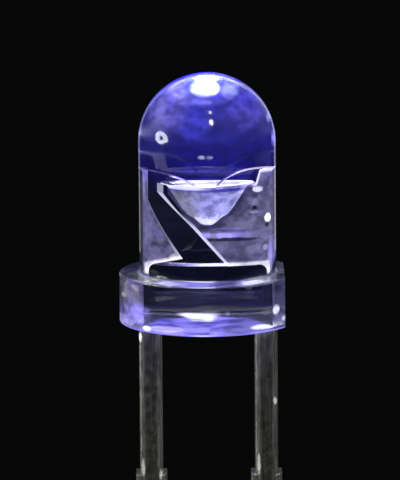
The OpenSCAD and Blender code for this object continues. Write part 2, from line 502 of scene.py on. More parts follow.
# Patches of painted light seen from the front, among them painted highlights and painted
# reflections. In millimetres: centre across and up, reach across and up, colour.
PAINTED_LIGHT_PATCHES = [
    ((-0.86, 4.86), (0.62, 0.62), (0.085, 0.072, 0.26)),
    ((0.80, 4.80), (0.60, 0.55), (0.050, 0.042, 0.24)),
    ((0.33, 5.20), (0.42, 0.20), (0.060, 0.050, 0.55)),
    ((-0.34, 5.08), (0.52, 0.24), (0.110, 0.100, 0.38)),
    ((-0.04, 5.235), (0.37, 0.185), (2.4, 3.0, 3.4)),
    ((0.02, 5.40), (0.50, 0.10), (0.0, 0.0, 0.60)),
    ((0.50, 5.19), (0.24, 0.20), (0.28, 0.32, 0.22)),
    ((-0.58, 5.19), (0.22, 0.20), (0.17, 0.18, 0.06)),
    ((-0.24, 4.50), (0.42, 0.55), (0.018, 0.018, 0.26)),
    ((0.10, 3.45), (1.10, 0.45), (0.004, 0.002, 0.13)),
    ((-0.12, 3.835), (0.10, 0.055), (0.44, 0.44, 0.52)),
    ((0.05, 3.835), (0.09, 0.050), (0.44, 0.44, 0.52)),
    ((1.34, 4.56), (0.07, 0.15), (0.32, 0.30, 0.70)),
    ((1.45, 4.08), (0.07, 0.22), (0.28, 0.24, 0.80)),
    ((1.41, 1.64), (0.11, 0.38), (0.16, 0.14, 0.55)),
    ((-1.05, 1.09), (0.62, 0.055), (0.27, 0.27, 0.20)),
    ((1.05, 1.10), (0.55, 0.07), (0.16, 0.17, 0.22)),
    ((-1.50, 0.38), (0.34, 0.28), (0.17, 0.14, 0.52)),
    ((-1.82, 0.12), (0.24, 0.16), (0.30, 0.26, 0.55)),
    ((-1.66, 0.80), (0.30, 0.30), (0.09, 0.075, 0.06)),
    ((-1.83, 0.70), (0.07, 0.07), (0.26, 0.25, 0.26)),
    ((-1.58, 0.94), (0.14, 0.09), (0.26, 0.23, 0.24)),
    ((-1.32, 0.09), (0.11, 0.09), (2.0, 2.0, 2.2)),
    ((1.47, 0.47), (0.09, 0.13), (1.7, 1.7, 1.9)),
    ((1.64, 0.24), (0.06, 0.08), (0.8, 0.8, 0.9)),
    ((1.25, 0.46), (0.16, 0.09), (0.13, 0.13, 0.17)),
    ((0.42, 0.50), (0.07, 0.06), (0.12, 0.13, 0.20)),
    ((0.02, 0.56), (0.24, 0.05), (0.05, 0.05, 0.05)),
]
print(len(PAINTED_LIGHT_PATCHES), "patches of light in the casting")


def body_glow(epoxy, place):
    """Painted light: glow by height, and near-side haze, painted highlights and reflections."""
    height = epoxy.part(place, "Z")
    across = epoxy.part(place, "X")
    near_side = 1 - epoxy.between(epoxy.part(place, "Y"), -0.5, 0.2)
    cloud = epoxy.noise(1.1, 3.0, shift=4.0)
    wisp = epoxy.noise(3.0, 3.0, stretch=(1, 1, 1.6), shift=1.0)
    cloudy = 0.50 + 1.0 * epoxy.between(cloud * 0.5 + wisp * 0.5, 0.34, 0.66)
    glow = epoxy.tint(epoxy.ramp(height / (lens_high.z / MM), GLOW_BY_HEIGHT), cloudy)
    ragged = epoxy.between(wisp * 0.65 + epoxy.noise(7.0, 2.0) * 0.35, 0.40, 0.62)
    for centre, reach, colour in PAINTED_LIGHT_PATCHES:
        painted_patch = 1 - epoxy.between(epoxy.oval(across, height, centre, reach), 0.0, 1.0)
        glow = epoxy.add(glow, colour, painted_patch * near_side * (0.40 + 0.85 * ragged))
    return glow


# %% [markdown]
# ## Light on the open underside
# The underside is dull, so the inside shows through it only as a blur. Its light could be left to
# the rays from the chip. Here it is painted on by place instead, so that each patch can be set:
# a wedge with a bright middle, two bright corners and a thin line round the front rim.

# %% The underside's colours and wedge
# Colours of the painted light on the underside.
UNDER_VIOLET = (0.060, 0.045, 0.48)
UNDER_PALE = (0.30, 0.25, 1.15)
UNDER_WHITE = (1.2, 1.2, 1.6)
UNDER_LEFT = (0.75, 0.66, 1.4)


def underside_glow(epoxy, place):
    """The dull underside gathers the light in a wedge that narrows towards the back."""
    across = epoxy.part(place, "X")
    back = epoxy.part(place, "Y")
    patchy = epoxy.between(epoxy.noise(2.2, 4.0, stretch=(1, 0.6, 1), shift=7.0), 0.42, 0.60)
    wedge = 1 - epoxy.between(back + 2.1 * abs(across) + 0.3 * (patchy - 0.5), 1.65, 2.0)
    right = 1 - 0.5 * epoxy.between(across, 0.1, 0.5)
    light = epoxy.tint(epoxy.mix(patchy, UNDER_VIOLET, UNDER_PALE), (0.02 + 0.98 * wedge) * right)
    centre = (1 - epoxy.between(abs(across + 0.06), 0.07, 0.17)) * epoxy.between(back, 0.35, 0.75)
    light = epoxy.mix(centre * (0.35 + patchy * 0.65), light, UNDER_WHITE)
    corner = 1 - epoxy.between(epoxy.oval(across, back, (0.98, -0.55), (0.30, 0.55)), 0.35, 1.0)
    light = epoxy.mix(corner * (0.4 + patchy * 0.6), light, UNDER_WHITE)
    left_oval = epoxy.oval(across, back, (-0.80, -0.80), (0.42, 0.60))
    left_corner = 1 - epoxy.between(left_oval, 0.2, 1.0)
    light = epoxy.mix(left_corner * (0.5 + patchy * 0.5), light, UNDER_LEFT)
    out = epoxy.node("ShaderNodeVectorMath", {"operation": "LENGTH"}, {0: place}, "Value")
    rim = epoxy.between(out, 1.84, 1.90) * (1 - epoxy.between(back, -0.4, 0.2))
    middle = (1 - epoxy.between(abs(across + 0.12), 0.05, 0.35)) * rim
    return epoxy.mix(middle * 0.5, epoxy.mix(rim * 0.6, light, UNDER_PALE), UNDER_WHITE)


# %% The casting's finish
EPOXY_INDEX = 1.53


def casting_finish():
    epoxy = Finish("clear_lit_epoxy")
    place = epoxy.place()
    height = epoxy.part(place, "Z")
    under = epoxy.between(height, 0.06, 0.02)
    dome = epoxy.between(height, 3.50, 3.85)
    wisp = epoxy.noise(3.2, 2.0, shift=1.0)
    emitted = epoxy.mix(under, body_glow(epoxy, place), underside_glow(epoxy, place))
    ripple = epoxy.noise(2.2, 1.0)
    swirl = epoxy.noise(1.3, 1.0, shift=5.0) * (1 - epoxy.between(height, 0.9, 1.1))
    grain = epoxy.noise(30.0, 3.0)
    skin = ripple * 0.3 + swirl * 1.6 + grain * (0.02 + under * 0.9)
    # Painted shade: the front of the root fillet lets less light through, most about 0.38 mm right of
    # the axis.
    fillet = epoxy.between(height, 1.02, 1.10) * (1 - epoxy.between(height, 1.20, 1.26))
    across = epoxy.part(place, "X")
    in_front = 1 - epoxy.between(epoxy.part(place, "Y"), -0.6, -0.2)
    dull = 0.35 + 0.4 * (1 - epoxy.between(abs(across - 0.38), 0.15, 0.40))
    fillet_shade_factor = 1 - fillet * in_front * dull
    resin = epoxy.mix(under, (0.985, 0.985, 1.0), (0.30, 0.28, 0.60))
    rough = 0.012 + under * 0.34 + dome * 0.085 + fillet * 0.12
    body = epoxy.principled({
        "Base Color": epoxy.tint(resin, fillet_shade_factor),
        "Roughness": rough + epoxy.between(wisp, 0.55, 0.75) * 0.01,
        "IOR": EPOXY_INDEX,
        "Transmission Weight": 1.0,
        "Emission Color": emitted,
        "Normal": epoxy.bump(skin, 0.12, 0.02 * MM),
    })
    clear = epoxy.node("ShaderNodeBsdfTransparent", {}, {"Color": (0.93, 0.93, 0.98, 1)})
    shadow = epoxy.node("ShaderNodeLightPath", output="Is Shadow Ray")
    return epoxy.end(epoxy.node("ShaderNodeMixShader", {}, {0: shadow, 1: body, 2: clear}))


finish_piece(casting, "clear_epoxy", casting_finish(), "epoxy_lens")

# %% [markdown]
# ## Stamped metal
# Anode and cathode are punched from one strip of steel half a millimetre thick. The punch rolls
# the front edges over and leaves the back ones nearly crisp. The outline is read from the CAD
# node itself: each flat side of it gives one straight step. Then the same outline is set in a
# little at each face, ring by ring, which rolls the edge without spoiling the flat faces.

# %% Reading a stamped outline
def flat_regions(shape):
    """Groups of faces that touch and lie in one plane."""
    waiting = list(shape.faces)
    grouped = set()
    regions = []
    for first in waiting:
        if first in grouped:
            continue
        grouped.add(first)
        region = [first]
        for face in region:
            for edge in face.edges:
                for other in edge.link_faces:
                    if other not in grouped and other.normal.dot(first.normal) > 0.99999:
                        grouped.add(other)
                        region.append(other)
        regions.append(region)
    return regions


def outline_steps(shape):
    """The straight steps of a stamped outline, as pairs of (x, z) points."""
    steps = []
    for region in flat_regions(shape):
        normal = region[0].normal
        points = [corner.co.copy() for face in region for corner in face.verts]
        rim = [point for point in points if head_half - HAIR < abs(point.y) < metal_half + HAIR]
        on_cup = abs(normal.z) > 0.99 and all(flat_radius(point) < boss_r + HAIR for point in points)
        if abs(normal.y) < 0.01 and len(rim) > 2 and not on_cup:
            along = Vector((-normal.z, 0, normal.x))
            rim.sort(key=along.dot)
            steps.append((rim[0].xz, rim[-1].xz))
    return steps


# %% The outline in order
def stamped_outline(node):
    """The outline of a stamped piece as (x, z) points, in order."""
    shape = bmesh.new()
    shape.from_mesh(frame["nodes"][node].data)
    bmesh.ops.remove_doubles(shape, verts=shape.verts, dist=SAME_POINT)
    steps = outline_steps(shape)
    shape.free()
    steps.sort(key=lambda step: (round(step[0].y / HAIR), step[0].x))
    chain = [steps.pop(0)]
    while steps:
        follower = min(steps, key=lambda step: (step[0] - chain[-1][1]).length)
        steps.remove(follower)
        chain.append(follower)
    return [step[0] for step in chain]


cathode_outline = stamped_outline("cathode_lead")
anode_outline = stamped_outline("anode_lead")
print("cathode outline", len(cathode_outline), "steps, anode", len(anode_outline))

# %% Rolling the edges
FRONT_ROLL = 0.075 * MM
BACK_ROLL = 0.02 * MM
ROLL_STEPS = 6


def inward_ways(outline):
    """For each corner, the way that sets both of its sides in by the same amount."""
    ways = []
    for corner, point in enumerate(outline):
        before = (point - outline[corner - 1]).normalized()
        after = (outline[(corner + 1) % len(outline)] - point).normalized()
        first = Vector((-before.y, before.x))
        second = Vector((-after.y, after.x))
        ways.append((first + second) / (1 + first.dot(second)))
    return ways


def rolled_side(outline, side, roll):
    """Rings from the flat face (side -1 is the front) round the rolled edge."""
    ways = inward_ways(outline)
    rings = []
    for step in range(ROLL_STEPS + 1):
        turn = math.radians(90 * step / ROLL_STEPS)
        inset = roll * (1 - math.sin(turn))
        y = side * (metal_half - roll * (1 - math.cos(turn)))
        rings.append([
            Vector((point.x + way.x * inset, y, point.y + way.y * inset))
            for point, way in zip(outline, ways)])
    return rings


def stamped(name, outline):
    rings = rolled_side(outline, -1, FRONT_ROLL) + rolled_side(outline, 1, BACK_ROLL)[::-1]
    return piece_from(name, *stack_rings(rings), smooth_angle=2)


cathode = stamped("cathode_frame", cathode_outline)
anode = stamped("anode_frame", anode_outline)
print("stamped:", len(cathode.data.polygons), "and", len(anode.data.polygons), "faces")

# %% [markdown]
# ## The pressed head and its cup
# The die presses the cathode's head a little thinner, with a short slope below. It also pushes a
# round boss out of the plate and sinks the reflector cup into it. So here the head's points move
# in, and the turned boss and cup are joined and cut with exact booleans.


# %% Pressing the head thinner
def press(piece):
    with edited(piece.data) as shape:
        for height in (coin_low, coin_high):
            cut_level(shape, (0, 0, height), (0, 0, 1))
        for point in shape.verts:
            pressed = (point.co.z - coin_low) / (coin_high - coin_low)
            pressed = min(max(pressed, 0), 1)
            point.co.y -= math.copysign((metal_half - head_half) * pressed, point.co.y)


press(cathode)
print("pressed by", (metal_half - head_half) / MM, "mm a side")

# %% The boss and the cup
LIP = 0.03 * MM
SOFT = 0.02 * MM
# The boss's rounded foot in millimetres: out from the axis, and up from its lowest point.
FOOT_CURVE = [
    (0.190, 0.0), (0.213, 0.006), (0.220, 0.017), (0.237, 0.047), (0.258, 0.085),
    (0.282, 0.127), (0.312, 0.168), (0.345, 0.208), (0.385, 0.253),
]
BOSS_SIDES = 96


def cone_outline(low_r, low_z, high_r, high_z, soft):
    """A cone with a rounded lower edge, as a half outline that starts on the axis."""
    lean = math.degrees(math.atan2(high_z - low_z, high_r - low_r))
    reach = soft * math.tan(math.radians(lean / 2))
    bend = arc(low_r - reach, low_z + soft, soft, -90, lean - 90, 6)
    return [(0.0, low_z)] + bend + [(high_r, high_z)]


def boolean(piece, tool, operation):
    """Joins or cuts, keeps the result as the piece's mesh and drops the tool."""
    change = piece.modifiers.new(operation, "BOOLEAN")
    change.operation = operation
    change.object = tool
    change.solver = "EXACT"
    graph = bpy.context.evaluated_depsgraph_get()
    mesh = bpy.data.meshes.new_from_object(piece.evaluated_get(graph))
    piece.modifiers.clear()
    piece.data = mesh
    bpy.data.objects.remove(tool)


boss_top = anvil_top + LIP
boss_outline = [(0.0, boss_low)] + [(out * MM, boss_low + up * MM) for out, up in FOOT_CURVE]
boss_outline.append((boss_r, anvil_top - SOFT))
boss_outline += arc(boss_r - SOFT, boss_top - SOFT, SOFT, 0, 90, 5) + [(0.0, boss_top)]
boolean(cathode, piece_from("boss", *lathe(boss_outline, BOSS_SIDES)), "UNION")
cup_outline = cone_outline(cup_floor_r, cup_floor, cup_top_r - SOFT / 4, anvil_top - SOFT, SOFT)
cup_outline += [(cup_top_r, anvil_top), (cup_top_r + SOFT, boss_top + LIP), (0.0, boss_top + LIP)]
boolean(cathode, piece_from("cup", *lathe(cup_outline, BOSS_SIDES)), "DIFFERENCE")
print("cathode:", len(cathode.data.polygons), "faces, anode:", len(anode.data.polygons))


# %% Smooth only where it is turned
def smooth_turned_part(piece):
    """The boss and the cup shade smoothly. The plate keeps its flat faces truly flat."""
    with edited(piece.data) as shape:
        for face in shape.faces:
            middle = face.calc_center_median()
            turned = flat_radius(middle) < boss_r and boss_low < middle.z < boss_top
            level = abs(face.normal.y) > 0.999 or abs(face.normal.z) > 0.999
            face.smooth = turned and not level
        smooth_up_to(shape, 30)


smooth_turned_part(cathode)
print("smooth faces:", sum(face.use_smooth for face in cathode.data.polygons))


# %% The plating itself
# Painted highlights seen from the front: centre across and up, reach across and up, colour of the
# light.
# They are given in millimetres in the object's own frame, as all tables of marks are.
LEAD_GLINTS = [
    ((-1.49, -0.33), (0.045, 0.13), (0.85, 0.85, 0.85)),
    ((1.46, -1.77), (0.045, 0.10), (0.42, 0.42, 0.42)),
    ((-1.45, -3.27), (0.045, 0.22), (0.34, 0.34, 0.32)),
    ((-1.06, -3.42), (0.050, 0.14), (0.34, 0.34, 0.32)),
    ((1.10, -3.20), (0.045, 0.28), (0.42, 0.42, 0.42)),
]
print(len(LEAD_GLINTS), "glints on the leads")


class Plating(Finish):
    """Worn plating, silvery in the casting and tinned outside. It keeps the fields for its light."""

    def __init__(self, name):
        super().__init__(name)
        place = self.place()
        self.across = self.part(place, "X")
        self.back = self.part(place, "Y")
        self.height = self.part(place, "Z")
        self.radius = self.off_axis(place)
        self.cast_in = self.between(self.height, -0.05, 0.1)
        self.front = self.between(self.facing("Y") * -1, 0.90, 0.995)
        self.behind = self.between(self.facing("Y"), 0.3, 0.9)
        self.up = self.between(self.facing("Z"), 0.05, 0.5)
        self.down = self.between(self.facing("Z") * -1, 0.70, 0.95)
        self.edge = (1 - self.front) * (1 - self.behind)
        self.mottle = self.noise(6.0, 3.0, shift=2.0)
        self.patch = self.noise(3.0, 2.0, stretch=(1, 1, 2.2), shift=9.0)
        self.streak = self.noise(5.0, 3.0, stretch=(6, 6, 0.4), shift=3.0)
        self.fine = self.noise(40.0, 3.0, stretch=(1, 1, 0.6))
        # How strong the painted light is, in patches over the metal.
        self.light_patchiness = self.between(
            self.mottle * 0.45 + self.patch * 0.4 + self.fine * 0.15, 0.36, 0.64)

    def above(self, low, high):
        """0 below low, 1 above high."""
        return self.between(self.height, low, high)

    def below(self, low, high):
        return 1 - self.above(low, high)

    def right_of(self, low, high):
        """0 left of low, 1 right of high."""
        return self.between(self.across, low, high)

    def left_of(self, low, high):
        return 1 - self.right_of(low, high)

    def spot(self, centre, reach):
        """1 in the middle of an oval mark with a ragged rim, 0 past it."""
        ragged = (self.mottle - 0.5) * 1.6 + (self.fine - 0.5) * 1.2
        off = self.oval(self.across, self.height, centre, reach)
        return 1 - self.between(off + ragged, 0.25, 1.0)

    def marked(self, light, marks, where):
        """The light with a table of marks on it: centre, reach and colour of each."""
        for centre, reach, colour in marks:
            light = self.add(light, colour, self.spot(centre, reach) * where)
        return light

    def finished(self, shade, light):
        """The plating's own colour and relief, darkened by painted shade and lit by painted light."""
        low = self.below(0.95, 1.15) * self.cast_in
        inner = self.mix(self.between(self.mottle, 0.3, 0.7), (0.33, 0.315, 0.41), (0.62, 0.60, 0.72))
        # Painted shade: inside the flange the metal is darker towards the right.
        inner = self.tint(inner, 1 - 0.55 * low * self.right_of(0.0, 0.5))
        grey = self.between(self.streak * 0.7 + self.fine * 0.3, 0.3, 0.7)
        outer = self.mix(grey, (0.37, 0.365, 0.32), (0.78, 0.77, 0.68))
        colour = self.mix(self.cast_in, outer, inner)
        relief = self.mottle * 0.25 + self.streak * 0.3 + self.fine * 0.16
        off_middle = abs(abs(self.across) - lead_x / MM)
        outside = (1 - self.cast_in) * (1 - self.behind)
        # Painted sheen along the leads' edges outside the casting, streaky.
        edge_sheen = self.between(off_middle, 0.10, 0.17) * outside
        edge_sheen = edge_sheen * (0.5 + self.between(self.streak, 0.3, 0.7))
        light = self.add(light, (0.038, 0.038, 0.036), edge_sheen)
        light = self.marked(light, LEAD_GLINTS, outside)
        # Painted shade on the very edge of the leads outside the casting.
        shade = shade * (1 - 0.6 * self.between(off_middle, 0.195, 0.235) * outside)
        return self.end(self.principled({
            "Base Color": self.tint(colour, shade),
            "Metallic": 1 - self.cast_in * 0.2,
            "Roughness": 0.34 + self.between(self.mottle, 0.3, 0.7) * 0.12,
            "Emission Color": light,
            "Normal": self.bump(relief, 0.4, 0.03 * MM),
        }))


# %% Light on the flat faces and on the leads in the flange
# Colours of the painted light on the flat faces.
FACE_LIGHT_DIM = (0.020, 0.017, 0.040)
FACE_LIGHT_PALE = (0.092, 0.084, 0.165)


def face_light(metal):
    """The chip's light painted on the flat front faces, in patches."""
    inside = metal.above(0.9, 1.3) * metal.front
    return metal.tint(metal.mix(metal.light_patchiness, FACE_LIGHT_DIM, FACE_LIGHT_PALE), inside)


def foot_light(metal):
    """Violet light that the underside throws on the leads inside the flange."""
    low = metal.cast_in * metal.below(0.15, 0.55)
    left = metal.left_of(-0.5, 0.5)
    return metal.tint((0.20, 0.16, 0.70), low * metal.light_patchiness * (0.25 + left * 0.75))


# %% [markdown]
# ## Light on the anode's post
# The post stands aside of the cup, so the chip only grazes it. Its lower edge, over the window
# between the heads and the flange, is the one that catches light.


# %% The post's finish
# Patches of painted light on the post's front: centre across and up, reach across and up, colour.
POST_PAINTED_LIGHT = [
    ((-1.22, 3.02), (0.13, 0.34), (0.15, 0.13, 0.19)),
    ((-1.12, 1.17), (0.10, 0.10), (0.40, 0.40, 0.48)),
    ((-1.11, 2.10), (0.07, 0.30), (0.05, 0.05, 0.09)),
    ((-0.80, 2.02), (0.14, 0.08), (0.06, 0.05, 0.16)),
    ((-0.50, 1.52), (0.12, 0.09), (0.35, 0.33, 0.36)),
    ((-1.14, 3.30), (0.16, 0.22), (0.10, 0.09, 0.24)),
]


def post_finish():
    post = Plating("plated_anode")
    light = post.sum(face_light(post), foot_light(post))
    low = post.below(1.55, 2.0)
    slope = post.height - 0.267 * (post.across + 0.88)
    beside = 1 - post.between(slope, 1.39, 1.46)
    beside = beside * post.above(1.0, 1.15) * post.right_of(-1.22, -1.12)
    beside = beside * (post.front + post.edge) * (1 - 0.85 * post.down)
    band = post.tint((0.76, 0.74, 0.66), beside * (0.55 + post.light_patchiness * 0.6))
    inner_edge = post.edge * post.right_of(-1.2, -1.05) * post.above(1.0, 1.3)
    line = post.tint((0.42, 0.40, 0.52), inner_edge * (0.10 + low * 0.9))
    top = post.tint((0.10, 0.09, 0.20), post.up * post.above(3.3, 3.36))
    light = post.sum(light, band, line, top)
    light = post.marked(light, POST_PAINTED_LIGHT, post.front)
    # A darker spot low on the post, and painted shade on the outer edge and on the back.
    dark_spot = post.spot((-0.76, 1.76), (0.17, 0.13))
    outer = post.left_of(-1.26, -1.20) * (1 - post.front) * post.above(1.1, 1.2)
    shade = (1 - 0.35 * dark_spot - 0.6 * outer) * (1 - 0.6 * post.behind)
    return post.finished(shade, light)


finish_piece(anode, "plated_frame", post_finish(), "anode_lead")

# %% [markdown]
# ## Light on the cathode, its boss and its cup
# The cup's rim and the anvil's slanted edge are the brightest lines, because they stand in the
# chip's own light, which is painted here by place. The boss glows softly, with painted glints on
# its foot. Between boss and plate lies a crescent of painted shade, and the pressed slope below
# shows as a soft band of painted light.


# %% Painted light and painted shadows of the head
# Colours of the painted light in the cup.
CUP_LIGHT_WHITE = (16.0, 23.0, 40.0)
CUP_LIGHT_BLUE = (1.0, 0.95, 6.0)
# Patches of painted light and painted highlights on the plate: centre across and up, reach across and
# up, colour.
HEAD_PAINTED_LIGHT = [
    ((1.07, 1.16), (0.08, 0.10), (0.70, 0.70, 0.75)),
    ((0.835, 2.98), (0.12, 0.075), (0.80, 0.78, 0.95)),
    ((0.76, 2.71), (0.12, 0.09), (0.08, 0.08, 0.13)),
    ((0.76, 2.48), (0.11, 0.035), (0.22, 0.20, 0.34)),
    ((1.06, 2.34), (0.10, 0.11), (1.60, 1.60, 1.60)),
    ((1.00, 1.69), (0.07, 0.07), (0.30, 0.28, 0.50)),
    ((1.15, 1.50), (0.10, 0.45), (0.16, 0.14, 0.36)),
    ((0.40, 2.14), (0.30, 0.04), (0.06, 0.05, 0.22)),
]
# Painted shadows on the plate: centre across and up, reach across and up.
HEAD_PAINTED_SHADOWS = [((0.76, 2.59), (0.05, 0.05)), ((1.04, 2.18), (0.07, 0.06)), ((0.45, 1.90), (0.5, 0.05))]
print(len(HEAD_PAINTED_LIGHT), "marks and", len(HEAD_PAINTED_SHADOWS), "shadows on the head")


# %% Where the boss is
def boss_fields(metal):
    """Where the boss is, and the crescent of painted shade beside it on the plate."""
    taper = (boss_r - boss_low_r) / (anvil_top - boss_low)
    foot = boss_low / MM
    cone = boss_low_r / MM + taper * (metal.height - foot)
    rounded = metal.below(foot + 0.115, foot + 0.25)
    off = metal.radius - (cone - 0.05 * rounded)
    above = metal.above(foot - 0.03, foot + 0.01)
    on = (1 - metal.between(off, 0.006, 0.02)) * (1 - metal.up) * above
    crescent = (1 - metal.between(off, 0.02, 0.20)) * metal.above(foot - 0.16, foot - 0.04)
    return on, crescent * (1 - on)


# %% Light on the boss
# The boss gives this light by place. It is not worked out from the chip.
def boss_light(metal, on):
    left = metal.left_of(-0.25, 0.15)
    base = metal.mix(left, (0.280, 0.285, 0.64), (0.155, 0.160, 0.235))
    patchy = metal.between(metal.mottle * 0.6 + metal.fine * 0.4, 0.38, 0.62)
    light = metal.tint(base, 0.45 + 0.9 * patchy)
    # Painted glints on the foot, painted shade under the rim, painted highlights on the right side and
    # the left lip.
    low = metal.below(boss_low / MM + 0.08, boss_low / MM + 0.30)
    glints = metal.between(metal.fine * 0.5 + metal.mottle * 0.5, 0.44, 0.56)
    light = metal.add(light, (0.48, 0.49, 0.50), low * (0.2 + glints * 0.8))
    under_rim = metal.above(2.96, 3.0) * metal.below(3.04, 3.06)
    light = metal.mix(under_rim, light, (0.03, 0.02, 0.34))
    right_line = metal.between(metal.across / (metal.radius + 0.001), 0.80, 0.93)
    light = metal.add(light, (0.22, 0.21, 0.34), right_line)
    left_lip = left * metal.above(3.0, 3.05)
    return metal.tint(metal.sum(light, metal.tint((0.7, 0.7, 0.8), left_lip)), on)


# %% Light on the cup's rim
def rim_light(metal):
    """The bead round the cup: bright all over at the right, only in front at the left."""
    top = metal.up * metal.above(anvil_top / MM - 0.02, anvil_top / MM)
    ring = (1 - metal.between(metal.radius, 0.64, 0.70)) * metal.between(metal.radius, 0.50, 0.53)
    left = metal.left_of(-0.42, -0.28)
    in_front = 1 - metal.between(metal.back, -0.42, -0.30)
    bright = 1 - left * (1 - in_front) * 0.95
    glow = metal.tint((1.1, 1.05, 1.5), top * ring * bright)
    beside = metal.tint((0.10, 0.08, 0.24), top * (1 - ring))
    middle = (1 - metal.between(abs(metal.across), 0.10, 0.16)) * in_front
    middle = middle * metal.between(metal.radius, 0.575, 0.595)
    return metal.sum(metal.sum(glow, beside), metal.tint((8.0, 8.5, 11.0), middle * top * ring))


# %% Light in the cup
def cup_glow(metal):
    """The reflector's inside, white where the chip shines at it most."""
    inside = (1 - metal.between(metal.radius, 0.50, 0.545)) * metal.between(
        metal.height, cup_floor / MM - 0.1, cup_floor / MM - 0.01)
    inside = inside * metal.up * metal.below(anvil_top / MM - 0.02, anvil_top / MM)
    middle = 1 - metal.between(metal.radius, 0.16, 0.27)
    far_left = metal.left_of(-0.40, -0.22)
    light = metal.mix(middle, CUP_LIGHT_BLUE, CUP_LIGHT_WHITE)
    return metal.tint(light, inside * (1 - 0.8 * far_left))


# %% Light on the edges
def edge_light(metal):
    """Light on the cathode's edges, strongest along the anvil's slanted side."""
    lower = metal.below(1.75, 2.7)
    line_y = 0.05 - 0.27 * lower
    on_line = 1 - metal.between(abs(metal.back - line_y) + 0.09 * lower, 0.13, 0.22)
    window = metal.below(1.30, 1.40)
    slanted = metal.edge * metal.left_of(0.34, 0.42) * metal.above(1.28, 1.36)
    slanted = slanted * (1 - metal.up) * (1 - 0.45 * metal.above(2.86, 2.92))
    anvil = metal.tint(metal.mix(window, (0.62, 0.60, 0.82), (0.55, 0.53, 0.60)), slanted * on_line)
    head_edge = metal.edge * metal.right_of(0.5, 0.7) * metal.above(1.35, 1.45)
    head = metal.tint((0.10, 0.09, 0.17), head_edge)
    ear = metal.spot((0.79, 3.28), (0.16, 0.26))
    ear_line = metal.tint((0.75, 0.72, 0.95), ear * (metal.edge + 0.1 * metal.front))
    ear_top = metal.tint((0.65, 0.62, 0.90), metal.up * metal.above(3.34, 3.38))
    below = metal.above(1.0, 1.15) * metal.below(1.35, 1.42)
    below = below * metal.left_of(1.10, 1.16) * (metal.front + metal.edge)
    below = below * (1 - 0.85 * metal.down)
    band = metal.tint((0.80, 0.78, 0.70), below * (0.55 + metal.light_patchiness * 0.6))
    return metal.sum(anvil, head, band, ear_line, ear_top)


# %% Light on the pressed slope
def coin_light(metal):
    """The pressed slope: a soft violet band that fades to the right."""
    middle = (coin_low + coin_high) / 2 / MM
    wavy = metal.height + 0.05 * (metal.patch - 0.5)
    band = 1 - metal.between(abs(wavy - middle), 0.02, 0.105)
    near_cup = metal.left_of(0.38, 0.80) * metal.right_of(-0.2, 0.0)
    broken = metal.between(abs(metal.across - 0.09), 0.02, 0.08)
    strength = band * (0.12 + near_cup * (0.25 + 0.75 * broken))
    return metal.tint((0.20, 0.16, 0.62), strength * (1 - metal.behind))


# %% All of it on the cathode
def cathode_finish():
    metal = Plating("plated_cathode")
    on, crescent = boss_fields(metal)
    # Painted shade: the face light fades in the crescent, and a dim violet light fills it.
    away = (1 - on) * (1 - 0.85 * crescent)
    light = metal.tint(face_light(metal), away)
    light = metal.add(light, (0.012, 0.008, 0.050), crescent * metal.front)
    light = metal.sum(
        light, foot_light(metal), boss_light(metal, on), rim_light(metal), cup_glow(metal),
        edge_light(metal), coin_light(metal))
    # Painted shade: under the cup's rim, on the pressed slope, on the front face left of the middle,
    # on the rolled front edge at the left, on the outer edge at the right and on the back.
    under_rim = on * metal.above(2.95, 3.0) * metal.right_of(-0.25, 0.0)
    slope = metal.above(coin_low / MM - 0.01, coin_low / MM)
    slope = slope * metal.below(coin_high / MM, coin_high / MM + 0.01)
    left_strip = metal.left_of(-0.15, 0.05) * metal.front * (1 - on)
    rolled = metal.edge * metal.left_of(-0.5, -0.3) * (1 - metal.between(metal.back, -0.15, -0.08))
    outer = metal.right_of(1.20, 1.26) * (1 - metal.front) * metal.above(1.1, 1.2)
    shade = 1 - 0.7 * crescent - 0.45 * left_strip * (1 - crescent) - 0.6 * outer
    shade = (shade - 0.6 * rolled) * (1 - 0.6 * metal.behind)
    shade = shade - 0.5 * under_rim - 0.6 * slope * (1 - on)
    plate = metal.front * (1 - on)
    light = metal.marked(light, HEAD_PAINTED_LIGHT, plate)
    # Each painted shadow darkens both the painted light and the colour.
    for centre, reach in HEAD_PAINTED_SHADOWS:
        dark_spot = metal.spot(centre, reach) * plate
        light = metal.tint(light, 1 - 0.9 * dark_spot)
        shade = shade * (1 - 0.75 * dark_spot)
    return metal.finished(shade, light)


finish_piece(cathode, "plated_frame", cathode_finish(), "cathode_lead")

# %% [markdown]
# ## The chip and what holds it
# The chip is a sawn sliver of crystal with a shallow step round its top, where the top layer was
# etched away. It stands in a drop of pale adhesive that has squeezed out a little round it.

# %% The chip
chip_low, chip_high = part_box("led_chip")
SAW_ROUND = 0.006 * MM
MESA_IN = 0.018 * MM
MESA_DOWN = 0.012 * MM


def square_ring(half, height, corner):
    """A square with cut corners, as points, anticlockwise."""
    places = [
        (half, -half + corner), (half, half - corner), (half - corner, half),
        (-half + corner, half), (-half, half - corner), (-half, -half + corner),
        (-half + corner, -half), (half - corner, -half)]
    return [Vector((x, y, height)) for x, y in places]


half = chip_high.x
chip = piece_from("lit_chip", *stack_rings([
    square_ring(half * 0.94, chip_low.z, SAW_ROUND),
    square_ring(half, chip_low.z + SAW_ROUND * 3, SAW_ROUND),
    square_ring(half, chip_high.z - MESA_DOWN, SAW_ROUND),
    square_ring(half - MESA_IN, chip_high.z - MESA_DOWN, SAW_ROUND),
    square_ring(half - MESA_IN, chip_high.z - MESA_DOWN * 0.2, SAW_ROUND),
    square_ring(half - MESA_IN * 1.2, chip_high.z, SAW_ROUND),
]), smooth_angle=25)


# %% The chip's light
CHIP_LIGHT_LOW = (90.0, 126.0, 270.0)
CHIP_LIGHT = (120.0, 160.0, 330.0)


